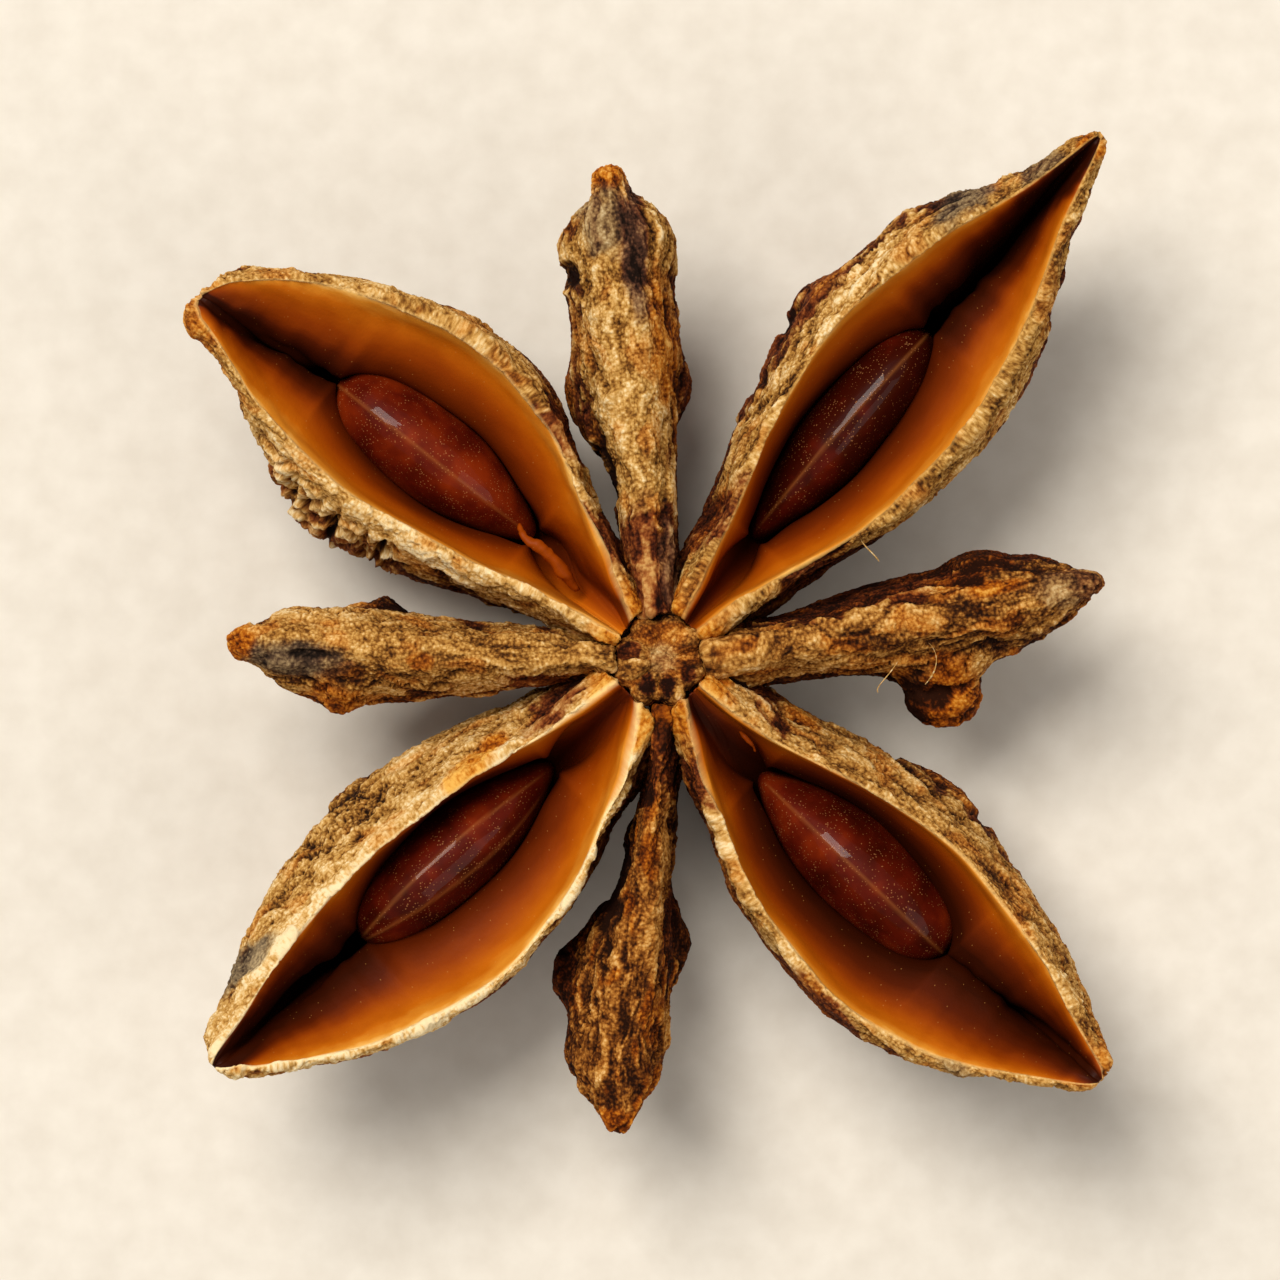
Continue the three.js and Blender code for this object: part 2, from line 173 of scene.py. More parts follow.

# The rules of a husk. azimuth: the way it points, degrees. seed: of its noise. pale: added to its
# tone, which runs from 0, dark, to 1, pale. warm: share of rust all over it. shade: how much darker
# than the others the painted shade on its lining is. crack: half width of the gap between the walls
# beyond the seed, mm. crack_shade: how far the painted shade beside that gap reaches, mm.
# bleached: how strong the painted highlight on the lip and its broken edge is, 0 for golden.
# band: how far down the pale crust reaches, left and right, mm.
# pleats: cross folds in a wall, as side, from, to, depth of the folds and their pitch, mm.
# marks: what stands out, by kind, each as distance s from the column's axis, distance t to the
# left of the husk's middle line, length, width (mm) and strength.
OPEN = {
    "ne": {
        "azimuth": 50, "seed": 3, "pale": 0.0, "shade": 0.04, "crack": 0.28, "crack_shade": 1.3,
        "warm": 0.0, "bleached": 0.0, "band": (1.8, 1.1), "pleats": [],
        "marks": {
            "cream": [(10.0, 2.6, 9.0, 0.55, 0.8)],
            "skin": [(9.5, 3.35, 8.0, 0.5, 0.4), (4.0, 1.4, 3.6, 0.9, 0.7), (4.5, -1.7, 4.5, 0.9, 0.9),
                     (9.0, -3.2, 2.4, 0.4, 0.6), (11.0, -3.5, 8.0, 0.6, 0.7)],
            "fibre": [(10.0, 2.8, 12.0, 1.6, 1.0)],
            "grey": [(16.4, 1.9, 2.4, 1.1, 0.9), (18.3, 0.7, 1.6, 0.7, 0.7)],
            "rust": [(17.2, 1.6, 1.3, 0.6, 0.9), (19.6, 0.0, 0.7, 0.8, 1.0),
                     (12.2, 3.3, 2.2, 0.4, 0.7)],
            "hollow": [(10.2, 3.6, 1.4, 0.25, 0.9), (7.4, 3.1, 2.2, 0.2, 0.8)],
            "cork": [(10.5, -2.8, 8.0, 0.8, 0.6)],
            "bump": [(11.8, -2.9, 9.0, 1.8, 0.16)]
        }},
    "nw": {
        "azimuth": 141.8, "seed": 11, "pale": 0.02, "shade": -0.02, "crack": 0.2, "crack_shade": 1.0,
        "warm": 0.05, "bleached": 0.3, "band": (2.2, 1.3), "pleats": [(1, 7.4, 13.2, 0.14, 0.8)],
        "marks": {
            "cream": [(7.5, 1.7, 5.0, 0.5, 0.9), (12.5, 2.0, 4.0, 0.4, 0.6)],
            "cork": [(10.0, 2.1, 6.0, 0.8, 0.5), (9.0, -4.2, 3.0, 0.6, 0.7)],
            "rust": [(16.5, 0.3, 1.5, 2.2, 0.9), (7.6, 2.2, 2.2, 0.5, 0.6)],
            "bump": [(16.9, 0.5, 0.9, 1.2, 0.12), (9.5, -3.8, 6.5, 2.0, 0.2)],
            "skin": [(4.0, -1.6, 4.0, 1.2, 1.0), (6.5, -3.4, 3.5, 0.8, 0.8)],
            "hollow": [(8.6, 2.5, 0.25, 0.9, 0.9), (10.1, 2.9, 0.25, 1.0, 0.9),
                       (11.6, 3.0, 0.3, 0.9, 0.8)]
        }},
    "sw": {
        "azimuth": -137.7, "seed": 23, "pale": 0.08, "shade": 0.06, "crack": 0.3, "crack_shade": 2.0,
        "warm": 0.0, "bleached": 1.0, "band": (0.6, 4.4), "pleats": [],
        "marks": {
            "cork": [(9.5, -2.5, 9.0, 1.6, 0.8), (17.0, 0.0, 1.4, 1.2, 0.6)],
            "rust": [(6.0, -1.4, 2.4, 0.6, 1.0), (8.8, -3.8, 3.0, 0.5, 0.7)],
            "grey": [(15.4, -1.6, 2.8, 0.7, 1.0)],
            "skin": [(3.2, -1.0, 2.6, 0.8, 0.7)],
            "hollow": [(10.0, -3.3, 3.0, 0.22, 0.8)],
            "cream": [(13.0, -1.3, 5.0, 0.5, 0.4), (10.0, 3.4, 6.0, 0.35, 0.7)],
            "specks": [(10.5, -2.7, 3.4, 1.1, 1.0)]
        }},
    "se": {
        "azimuth": -43.7, "seed": 31, "pale": 0.02, "shade": 0.5, "crack": 0.07, "crack_shade": 0.5,
        "warm": 0.1, "bleached": 0.3, "band": (2.4, 0.9), "pleats": [],
        "marks": {
            "cork": [(9.0, 2.1, 10.0, 1.4, 0.7)],
            "hollow": [(6.4, 2.75, 4.6, 0.22, 1.0), (9.4, 3.15, 2.6, 0.16, 0.9)],
            "rust": [(4.0, 1.75, 1.8, 0.7, 0.9), (10.0, 3.4, 2.8, 0.6, 0.8),
                     (17.2, 0.0, 1.5, 1.6, 0.9)],
            "skin": [(10.3, -4.0, 3.4, 0.6, 0.9), (4.0, -1.6, 4.2, 0.9, 0.9),
                     (3.2, 1.0, 2.2, 0.6, 0.6)],
            "grey": [(14.2, -2.6, 2.6, 0.6, 0.5)],
            "cream": [(13.5, 1.6, 3.4, 0.5, 0.5)]
        }},
}


def clouds(points, size, seed, octaves=3):
    """Soft noise of about -1 to 1 at points in mm, with lumps of that size in mm on each axis."""
    scaled = (points / np.asarray(size, float) + 13.7 * seed).tolist()
    return np.array([noise.fractal(p, 0.9, 2.1, octaves) for p in scaled])


def granules(points, size, seed):
    """Round grains packed side by side, at points in mm: 1 at a grain's middle, 0 between grains."""
    scaled = (points / np.asarray(size, float) + 7.3 * seed).tolist()
    apart = np.array([noise.voronoi(p)[0][:2] for p in scaled])
    return np.clip(1.6 * (apart[:, 1] - apart[:, 0]), 0, 1)


def step(low, high, x):
    """0 below low, 1 above high, and a smooth rise between."""
    k = np.clip((x - low) / (high - low), 0, 1)
    return k * k * (3 - 2 * k)


def lines(x, width):
    """1 where x passes through 0, falling away over width."""
    return np.exp(-(x / width) ** 2)


def quads_of(node):
    """A bmesh of a CAD node with its loose triangles merged and paired into four-sided faces."""
    bm = bmesh.new()
    bm.from_mesh(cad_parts[node].data)
    bmesh.ops.remove_doubles(bm, verts=bm.verts, dist=2e-6)
    bmesh.ops.join_triangles(
        bm, faces=bm.faces, angle_face_threshold=math.pi, angle_shape_threshold=math.pi)
    bm.normal_update()
    bm.verts.index_update()
    bm.verts.ensure_lookup_table()
    return bm


def final_mesh(piece):
    """A mesh of the piece with its modifiers, or a curve's bevel, worked in."""
    return bpy.data.meshes.new_from_object(piece.evaluated_get(bpy.context.evaluated_depsgraph_get()))


def smoothed(bm, name, levels):
    """A new object of the bmesh after Catmull-Clark smoothing, its mesh final."""
    mesh = bpy.data.meshes.new(name)
    bm.to_mesh(mesh)
    bm.free()
    piece = bpy.data.objects.new(name, mesh)
    scene.collection.objects.link(piece)
    smoothing = piece.modifiers.new("smoothing", "SUBSURF")
    smoothing.levels = smoothing.render_levels = levels
    finished = final_mesh(piece)
    piece.modifiers.clear()
    piece.data = finished
    finished.name = name
    return piece


def coordinates(mesh):
    """Vertex places in mm and vertex normals, as arrays."""
    places = np.zeros(len(mesh.vertices) * 3, np.float32)
    normals = np.zeros(len(mesh.vertices) * 3, np.float32)
    mesh.vertices.foreach_get("co", places)
    mesh.vertex_normals.foreach_get("vector", normals)
    return places.reshape(-1, 3).astype(float) / MM, normals.reshape(-1, 3).astype(float)


def move(mesh, places):
    """Puts the vertices at places in mm, none of them under the table."""
    places[:, 2] = np.maximum(places[:, 2], 0)
    mesh.vertices.foreach_set("co", (places * MM).astype(np.float32).ravel())
    mesh.update()


def write(mesh, **layers):
    """Stores what the material reads: a number or vector for each vertex, or one number for all."""
    for name, values in layers.items():
        if np.isscalar(values):
            values = np.full(len(mesh.vertices), values)
        vector = values.ndim == 2
        layer = mesh.attributes.get(name)
        if layer is None:
            layer = mesh.attributes.new(name, "FLOAT_VECTOR" if vector else "FLOAT", "POINT")
        layer.data.foreach_set("vector" if vector else "value", values.astype(np.float32).ravel())


def turned(vectors, degrees):
    """Vectors seen from a frame turned by that angle about +Z."""
    c, s = math.cos(math.radians(degrees)), math.sin(math.radians(degrees))
    return np.column_stack([
        c * vectors[:, 0] + s * vectors[:, 1], c * vectors[:, 1] - s * vectors[:, 0], vectors[:, 2]])


def highest(local, values, chosen):
    """The highest value among the chosen vertices, at each vertex's distance from the axis."""
    steps = np.round(local[chosen, 0] / SECTION_SIDE).astype(int)
    tops = np.full(steps.max() + 2, -np.inf)
    np.maximum.at(tops, steps, values[chosen])
    known = np.flatnonzero(np.isfinite(tops))
    return np.interp(local[:, 0] / SECTION_SIDE, known, tops[known])


def seam_height(local):
    """Height of the top of the wall at each vertex's distance from the axis."""
    return highest(local, local[:, 2], np.full(len(local), True))


def bottom_line(local, lined):
    """How far to the left the bottom of the cavity is, at each vertex's distance from the axis."""
    bottom = -highest(local, -local[:, 2], lined)
    low = lined & (local[:, 2] < bottom + 0.4)
    steps = np.round(local[low, 0] / SECTION_SIDE).astype(int)
    count, total = np.bincount(steps), np.bincount(steps, local[low, 1])
    known = np.flatnonzero(count)
    return np.interp(local[:, 0] / SECTION_SIDE, known, total[known] / count[known])


def line_cavity(local, depth, inner, node, rules):
    """Draws the walls of a cavity in to the sides of its seed, and together beyond it. Returns the
    shift sideways in mm, and the painted shade of the lining: 0 at the lip, 1 at the crack."""
    seed = turned(np.array([v.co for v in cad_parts[node].data.vertices]) / MM, rules["azimuth"])
    low, high = seed.min(axis=0), seed.max(axis=0)
    # half the width to leave open: that of the seed, and beyond it that of an uneven crack
    along = np.clip(2 * (local[:, 0] - low[0]) / (high[0] - low[0]) - 1, -1, 1)
    width = (high[1] - low[1]) / 2 * np.sqrt(1 - along ** 2)
    width = width * (1 - SEED_TAPER * np.minimum(along, 0) ** 2)
    course = np.column_stack([local[:, 0], np.zeros((len(local), 2))])
    crack = rules["crack"] * (1 + CRACK_WANDER * 3 * clouds(course, 0.9, rules["seed"] + 14, 2))
    width = np.where(along > 0, np.maximum(width, crack), width)
    # the line the walls close on: the seed's middle, then the bottom of the cavity, wandering
    beyond = step(high[0] - 0.6, high[0] + 0.4, local[:, 0])
    middle = (low[1] + high[1]) / 2
    followed = step(high[0] - 0.3, high[0] + 2.5, local[:, 0])
    middle = middle + followed * (bottom_line(local, inner > 0.9) - middle)
    middle = middle + CRACK_WANDER * beyond * clouds(course, 1.2, rules["seed"] + 13, 3)
    # the walls take up the room that is left, at the seed's depth and a little past its ends
    aside = local[:, 1] - middle
    gap = np.abs(aside) - width
    grip = step(*GRIP_TOP, depth) * (1 - step(*GRIP_BOTTOM, depth))
    grip = grip * step(low[0] - 2.2, low[0] + 1.2, local[:, 0])
    grip = grip * (1 - step(high[0] + 1.5, high[0] + 4.0, local[:, 0]))
    shift = np.maximum(gap + SEED_GRIP, 0) * grip

    # painted shade: the lining darkens on its way from the lip to the seed, and once more beside the
    # crack
    on_lip = (inner > 0.3) & (inner < 0.7)
    lip = np.where(aside > 0, highest(local, aside, on_lip & (aside > 0)),
                   highest(local, -aside, on_lip & (aside < 0)))
    near = np.clip(1 - (gap - shift) / np.maximum(lip - width, 0.15), 0, 1)
    sunk = (LINING_SHADE + rules["shade"]) * near ** LINING_SHADE_FALL
    beak = np.clip((local[:, 0] - high[0]) / (local[:, 0].max() - high[0]), 0, 1)
    crack_shade = np.maximum(rules["crack_shade"] * (1 - beak), 0.05)
    sunk += CRACK_SHADE_DARK * beyond * (1 - step(0, crack_shade, gap - shift))
    return -np.sign(aside) * shift, sunk


def root_width(local):
    """How much wider than the plain solid a root is, where it is grown to its neighbours."""
    return 1 + ROOT_WIDER * (1 - step(2.2, 4.5, local[:, 0]))


def root_pull(local):
    """How far a root is drawn in towards the column, mm."""
    return ROOT_REACH * (1 - step(ROOT_FACE, 2.8, local[:, 0]))


def sharpen_root(bm, azimuth):
    """Keeps the edge round the root's flat end from being smoothed away."""
    along = turned(np.array([v.co for v in bm.verts]) / MM, azimuth)[:, 0]
    crease = bm.edges.layers.float.new("crease_edge")
    for edge in bm.edges:
        if all(along[vert.index] < ROOT_FACE + 0.05 for vert in edge.verts):
            edge[crease] = ROOT_CREASE


def mark_lining(bm, azimuth):
    """Writes 0 on the outside of the wall, up to the crest of its rim, and 1 on the inside."""
    local = turned(np.array([v.co for v in bm.verts]) / MM, azimuth)
    order = np.argsort(local[:, 0])
    rings = np.split(order, np.flatnonzero(np.diff(local[order, 0]) > RINGS_APART) + 1)
    ring_of = np.zeros(len(local), int)
    crest = set()
    for number, ring in enumerate(rings):
        ring_of[ring] = number
        beside = local[ring, 1] - local[ring, 1].mean()
        for part in (ring[beside > 0], ring[beside < 0]):
            crest.add(int(part[local[part, 2].argmax()]))
    outside = {int(local[:, 2].argmin())}
    waiting = [bm.verts[i] for i in outside]
    while waiting:
        vert = waiting.pop()
        for edge in vert.link_edges:
            other = edge.other_vert(vert).index
            same_end = ring_of[vert.index] == ring_of[other] and ring_of[other] in (0, len(rings) - 1)
            if not same_end and other not in crest and other not in outside:
                outside.add(other)
                waiting.append(bm.verts[other])
    layer = bm.verts.layers.float.new("lining")
    for vert in bm.verts:
        vert[layer] = 0.0 if vert.index in outside or vert.index in crest else 1.0


def refined(mesh):
    """Halves the edges of the outside of the wall once more, where its crust shows."""
    bm = bmesh.new()
    bm.from_mesh(mesh)
    lining = bm.verts.layers.float["lining"]
    edges = [e for e in bm.edges if all(v[lining] < 0.55 and v.co.z > KEEL_TOP for v in e.verts)]
    bmesh.ops.subdivide_edges(bm, edges=edges, cuts=1, use_grid_fill=True)
    bm.to_mesh(mesh)
    bm.free()


def mark(local, rules, kind, ragged):
    """How strongly the marks of one kind show at each vertex, with ragged borders."""
    strongest = np.zeros(len(local))
    for s, t, length, width, strength in rules["marks"].get(kind, ()):
        away = ((local[:, 0] - s) / (0.5 * length)) ** 2 + ((local[:, 1] - t) / (0.5 * width)) ** 2
        strongest = np.maximum(strongest, strength * (1 - step(0.4, 1.6, away + ragged)))
    return strongest


# what each kind of relief or mark adds to the height of a husk, in mm, and to its tone. The darker
# tone of hollows, pits and the shade marks is painted shade; that of cracks is partly the dark skin
# showing through and partly painted shade; the paler tone of raised lumps and folds is partly the
# husk's own mottling and partly painted light on its relief
HEIGHTS = {
    "lumps": 0.12, "folds": 0.14, "wrinkles": 0.06, "fibres": 0.02, "combed": 0.03, "crust": 0.019,
    "plates": 0.05, "grain": 0.014, "crumbs": 0.024, "fine": 0.02, "bump": 1.0, "cracks": -0.10,
    "hollow": -0.25, "pits": -0.05}
TONES = {
    "lumps": 0.10, "folds": 0.15, "flakes": 0.24, "fibres": 0.14, "combed": 0.25, "crust": 0.24,
    "grain": 0.08, "crumbs": 0.07, "fine": 0.12, "cream": 0.25, "cracks": -0.36, "hollow": -0.6,
    "pits": -0.3, "shade": -0.3}
BARE_TONE = 0.31                 # tone of a husk without any of them
PLEAT_TONE = 0.14                # painted light and shade: how much paler than its hollow the crest of a pleat is
PLEAT_PALE = 0.12                # and all of the pleated stretch than the rest


def pits_in_rows(local, seed):
    """Small round pits, 1 in a pit and 0 between."""
    return 1 - step(0.05, 0.3, granules(local, (0.42, 0.3, 0.3), seed))


def husk_relief(local, depth, left, rules):
    """Relief of the husk in mm, its tone (0 dark to 1 pale) and its tints: rust, skin and grey."""
    seed = rules["seed"]
    bent = local + 0.45 * np.column_stack([clouds(local, 1.5, seed + 0.3 * k, 2) for k in range(3)])
    ragged = 0.7 * clouds(bent, 0.7, seed + 1, 3)
    shown = {kind: mark(local, rules, kind, ragged)
             for kind in ("cork", "cream", "skin", "rust", "grey", "shade", "hollow", "fibre", "specks")}
    shown["bump"] = mark(local, rules, "bump", 0)
    shown["lumps"] = clouds(local, 2.4, seed + 2, 2)
    shown["folds"] = clouds(bent, (4.0, 0.8, 0.9), seed + 3, 3)
    shown["fibres"] = clouds(bent, (2.6, 0.2, 0.28), seed + 4, 3)
    shown["combed"] = shown["fibre"] * shown["fibres"]
    shown["wrinkles"] = clouds(bent, (2.4, 0.42, 0.5), seed + 5, 3)
    shown["flakes"] = clouds(bent, (0.85, 0.5, 0.5), seed + 6, 4)
    shown["fine"] = clouds(local, 0.11, seed + 9, 2)

    # the crust lies along the seam and where it is marked, and has flaked off elsewhere
    band = np.where(left, rules["band"][0], rules["band"][1])
    cover = 0.9 * (1 - depth / band) + 0.9 * shown["flakes"]
    cover = cover + 1.2 * (shown["cork"] + shown["cream"] - shown["skin"])
    crust = step(-0.35, 0.35, np.maximum(cover, -1))
    shown["crust"] = crust
    shown["plates"] = crust * step(-0.05, 0.05, shown["flakes"] + 0.15)
    shown["grain"] = crust * (granules(local, (0.16, 0.12, 0.12), seed + 7) - 0.5)
    shown["crumbs"] = crust * (granules(bent, (0.36, 0.26, 0.26), seed + 8) - 0.5)
    shown["cracks"] = lines(shown["wrinkles"], 0.05) * (0.25 + 0.75 * step(0.2, 1.0, depth))
    shown["pits"] = pits_in_rows(local, seed + 11) * shown["specks"]
    relief = sum(height * shown[kind] for kind, height in HEIGHTS.items())
    tone = BARE_TONE + rules["pale"] + sum(change * shown[kind] for kind, change in TONES.items())

    for side, start, end, tall, pitch in rules["pleats"]:
        here = (left == (side > 0)) * step(start, start + 1, local[:, 0])
        here = here * (1 - step(end - 1, end, local[:, 0]))
        here = here * step(0.3, 1.0, depth) * (1 - step(4.0, 6.0, depth))
        course = local[:, 0] + 0.6 * shown["wrinkles"] + 0.25 * local[:, 2]
        fold = np.sin(2 * math.pi / pitch * course)
        relief += tall * here * fold
        # painted light and shade: a pleat's crest is paler and its hollow darker
        tone += here * (PLEAT_TONE * fold + PLEAT_PALE)

    blotch = step(0.12, 0.5, clouds(bent, (1.8, 0.9, 0.9), seed + 10, 4))
    rust = np.clip(np.maximum(shown["rust"], rules["warm"] + 0.5 * blotch), 0, 1)
    skin = np.clip(1 - crust + shown["skin"] - rust, 0, 1)
    return relief, tone, np.column_stack([rust, skin, shown["grey"]])


def husk_material(name):
    """Corky husk and its lining. Dry cork is dead matt and pale where it has flaked into grains;
    the skin below is darker and a little leathery, and the lining is satin, as if waxed."""
    material, tree, output = new_material(name)
    local = add(tree, "Attribute", attribute_name="local").outputs["Vector"]
    lining = add(tree, "Attribute", attribute_name="lining").outputs["Fac"]
    sunk = add(tree, "Attribute", attribute_name="sunk").outputs["Fac"]
    tone = add(tree, "Attribute", attribute_name="tone").outputs["Fac"]
    tints = add(tree, "Attribute", attribute_name="tints").outputs["Vector"]
    tints = add(tree, "SeparateXYZ", {0: tints})

    grit = add(tree, "TexNoise", {"Vector": local, "Scale": 1 / GRIT, "Detail": 5.0,
                                  "Roughness": 0.75}).outputs["Fac"]
    thread_place = add(tree, "Mapping", {"Vector": local, "Scale": (0.2, 1.0, 1.0)}).outputs[0]
    threads = add(tree, "TexNoise", {"Vector": thread_place, "Scale": 1 / THREAD, "Detail": 4.0,
                                     "Roughness": 0.7, "Distortion": 0.8}).outputs["Fac"]
    sand = add(tree, "TexVoronoi", {"Vector": local, "Scale": 1 / CORK_GRAIN}).outputs["Distance"]
    grainy = add(tree, "Math", {0: sand, 1: -0.5, 2: grit}, operation="MULTIPLY_ADD").outputs[0]
    shade = add(tree, "Math", {0: grainy, 1: 0.85, 2: tone}, operation="MULTIPLY_ADD").outputs[0]
    shade = add(tree, "Math", {0: threads, 1: 0.55, 2: shade}, operation="MULTIPLY_ADD").outputs[0]
    shade = add(tree, "Math", {0: shade, 1: 0.5}, operation="SUBTRACT").outputs[0]
    cork = add(tree, "ValToRGB", {"Fac": shade}, stops=[
        (0.0, "#1C0D05"), (0.18, "#44270E"), (0.34, "#784C1C"), (0.50, "#A87836"), (0.66, "#CA9C56"),
        (0.82, "#E0BC80"), (1.0, "#F0DAAC")])
    rust = add(tree, "ValToRGB", {"Fac": shade}, stops=[
        (0.0, "#260D02"), (0.25, "#602804"), (0.45, "#964A08"), (0.65, "#C0741C"), (1.0, "#E6AE52")])
    skin = add(tree, "ValToRGB", {"Fac": shade}, stops=[
        (0.0, "#1A0803"), (0.25, "#4A1E0C"), (0.50, "#7E3F1A"), (0.75, "#A66A34"), (1.0, "#C89656")])
    grey = add(tree, "ValToRGB", {"Fac": shade}, stops=[
        (0.0, "#17100B"), (0.35, "#46362A"), (0.65, "#806C50"), (1.0, "#B49C74")])
    colour = cork.outputs[0]
    for tint, ramp in ((1, skin), (0, rust), (2, grey)):
        colour = add(tree, "Mix", {0: tints.outputs[tint], 6: colour, 7: ramp.outputs[0]},
                     data_type="RGBA").outputs[2]

    streak_place = add(tree, "Mapping", {"Vector": local, "Scale": (0.35, 1.0, 1.0)}).outputs[0]
    soft = add(tree, "TexNoise", {"Vector": streak_place, "Scale": 1 / STREAK,
                                  "Detail": 4.0}).outputs["Fac"]
    # painted shade: the amber lining runs dark down its ramp towards the seed and the crack; a stalk
    # takes one fixed place on it
    deep = add(tree, "Math", {0: soft, 1: 0.14, 2: sunk}, operation="MULTIPLY_ADD").outputs[0]
    deep = add(tree, "Math", {0: deep, 1: 0.07}, operation="SUBTRACT").outputs[0]
    amber = add(tree, "ValToRGB", {"Fac": deep}, stops=[
        (0.0, "#F0BA60"), (0.05, "#D28424"), (0.13, "#BA6008"), (0.24, "#A04902"), (0.36, "#863500"),
        (0.50, "#682400"), (0.66, "#4E1700"), (1.0, "#300C00")])
    flecks = add(tree, "TexVoronoi", {"Vector": local, "Scale": 1 / FLECK_GAP}).outputs["Distance"]
    fleck = add(tree, "MapRange", {"Value": flecks, "From Min": 0.09, "From Max": 0.05,
                                   "To Max": 0.3}).outputs[0]
    amber = add(tree, "Mix", {0: fleck, 6: amber.outputs[0], 7: from_hex("#D59A50")}, data_type="RGBA")
    inside = add(tree, "MapRange", {"Value": lining, "From Min": 0.35, "From Max": 0.6}).outputs[0]
    colour = add(tree, "Mix", {0: inside, 6: colour, 7: amber.outputs[2]}, data_type="RGBA")

    edge = add(tree, "ValToRGB", {"Fac": lining}, stops=[
        (0.10, "#000000"), (0.30, "#B0B0B0"), (0.46, "#B0B0B0"), (0.62, "#000000")]).outputs[0]
    # painted highlight: bleached turns the golden broken edge of the lip near white
    bleached = add(tree, "Attribute", attribute_name="bleached").outputs["Fac"]
    lip = add(tree, "Mix", {0: bleached, 6: from_hex("#E4B060"), 7: from_hex("#FFE4A8")},
              data_type="RGBA")
    colour = add(tree, "Mix", {0: edge, 6: colour.outputs[2], 7: lip.outputs[2]}, data_type="RGBA")

    rough = add(tree, "Mix", {0: inside, 2: 0.85, 3: 0.5}, data_type="FLOAT").outputs[0]
    calm = add(tree, "MapRange", {"Value": inside, "To Min": 0.8, "To Max": 0.15}).outputs[0]
    bump = add(tree, "Bump", {"Height": grainy, "Strength": calm, "Distance": 0.05 * MM})
    surface = add(tree, "BsdfPrincipled", {
        "Base Color": colour.outputs[2], "Roughness": rough, "Specular IOR Level": 0.08,
        "Normal": bump.outputs[0]})
    tree.links.new(surface.outputs[0], output.inputs["Surface"])
    return material


def finish(piece, material, node=None):
    """Gives a piece its material and its place in the pod, instead of its plain solid if it has one."""
    piece.data.materials.clear()
    piece.data.materials.append(material)
    piece.data.shade_smooth()
    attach(piece, "root")
    if node:
        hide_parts(node)


corky_husk = husk_material("corky_husk")

for place, rules in OPEN.items():
    node = "follicle_" + place
    bm = quads_of(node)
    sharpen_root(bm, rules["azimuth"])
    mark_lining(bm, rules["azimuth"])
    piece = smoothed(bm, "husk_" + place, SMOOTHING)
    mesh = piece.data
    refined(mesh)
    places, normals = coordinates(mesh)
    local = turned(places, rules["azimuth"])
    seam = seam_height(local)
    depth = seam - local[:, 2]
    inner = np.zeros(len(places), np.float32)
    mesh.attributes["lining"].data.foreach_get("value", inner)
    relief, tone, tints = husk_relief(local, depth, local[:, 1] > 0, rules)
    # a rusty root, and a painted highlight on the lip and the crust next to it, where bleached is set
    border = local[:, 0] + 0.4 * clouds(local, 0.5, rules["seed"])
    tints[:, 0] = np.maximum(tints[:, 0], 1 - step(ROOT_STAIN - 0.3, ROOT_STAIN + 0.3, border))
    # painted highlight: the crust is paler just below the lip and along its edge
    tone += rules["bleached"] * (0.2 * (1 - step(0.0, 0.9, depth)) + 0.2 * step(0.02, 0.2, inner))
    # rough outside and softly uneven inside, with the lining drawn in and its root end filled up
    shell = 1 - step(0.25, 0.6, inner)
    satin = 0.05 * clouds(local, (3.0, 0.8, 0.8), rules["seed"] + 12, 2)
    shaped = local + turned(normals, rules["azimuth"]) * (relief * shell + satin * (1 - shell))[:, None]
    lined = inner > 0.6
    shift, sunk = line_cavity(local, depth, inner, "seed_" + place, rules)
    shaped[:, 1] += np.where(lined, shift, 0)
    filled = seam - FILL_DEPTH - FILL_SLOPE * (local[:, 0] - ROOT_FACE)
    shaped[:, 2] = np.where(lined, np.maximum(shaped[:, 2], filled), shaped[:, 2])
    # painted shade at the bottom of the cavity
    sunk += BOTTOM_SHADE * step(*BOTTOM_SHADE_DEPTH, seam - shaped[:, 2])
    shaped[:, 1] *= np.where(lined, 1, root_width(local))
    shaped[:, 0] -= root_pull(local)
    move(mesh, turned(shaped, -rules["azimuth"]))
    write(mesh, local=local, sunk=sunk, bleached=rules["bleached"], tone=tone, tints=tints)
    finish(piece, corky_husk, node)

# ---------------------------------------------------------------------------------------------
# Shut follicles: four stunted ones that never split, solid looking, with a blunt ridge where
# the seam is, sunken sides and a nub of a beak. The same husk, more shrivelled.

